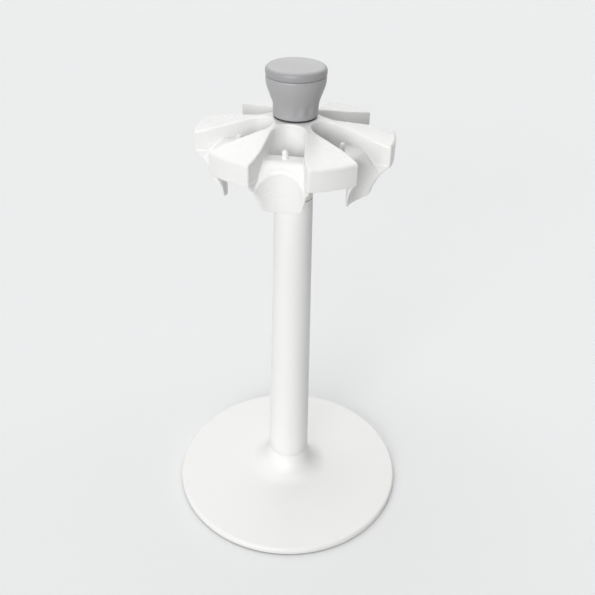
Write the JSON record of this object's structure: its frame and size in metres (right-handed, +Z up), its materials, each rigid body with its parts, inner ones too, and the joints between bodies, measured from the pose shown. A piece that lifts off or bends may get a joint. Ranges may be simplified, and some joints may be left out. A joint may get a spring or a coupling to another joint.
{
  "type": "pipette carousel stand",
  "caption": "Bench stand for hand pipettes: a weighted round base, a tapered column and a freely turning carousel of open hanging bays under a carrying knob.",
  "frame": {"origin": "centre of the footprint on the bench, on the carousel's axis", "axes": "+Z up the column along the carousel's axis, -Y out of bay 0 of the carousel at rest"},
  "size_m": [0.173, 0.173, 0.33],
  "materials": {
    "base_plastic": "satin moulded",
    "column_plastic": "satin moulded",
    "turret_plastic": "satin gloss moulded",
    "knob_plastic": "fine matt grain",
    "cap_plastic": "fine matt grain",
    "seal_rubber": "matt",
    "rubber": "matt",
    "dark_plate": "matt paint",
    "steel": "zinc plated",
    "ground_steel": "ground and polished",
    "cast_iron": "as cast, oiled",
    "aluminium": "turned",
    "pale_bearing": "natural acetal",
    "dark_bearing": "filled nylon"
  },
  "bodies": {
    "stand": {"base_cover": "base_plastic", "ballast_weight": "cast_iron", "bottom_plate": "dark_plate", "rubber_feet": "rubber", "base_screws": "steel", "column": "column_plastic", "foot_plug": "aluminium", "tie_rod": "steel", "tie_washer": "steel", "tie_nut": "steel", "column_head": "aluminium", "spindle": "ground_steel", "thrust_washer": "pale_bearing", "wave_washer": "steel", "spindle_washer": "steel", "lock_nut": "steel"},
    "carousel": {"turret": "turret_plastic", "lower_bush": "dark_bearing", "upper_bush": "dark_bearing", "knob_ring": "seal_rubber", "knob_body": "knob_plastic", "knob_cap": "cap_plastic"}
  },
  "joints": [
    {"name": "carousel_spin", "type": "hinge", "parent": "stand", "child": "carousel", "pos_m": [0, 0, 0.25], "axis": [0, 0, 1], "continuous": true}
  ]
}
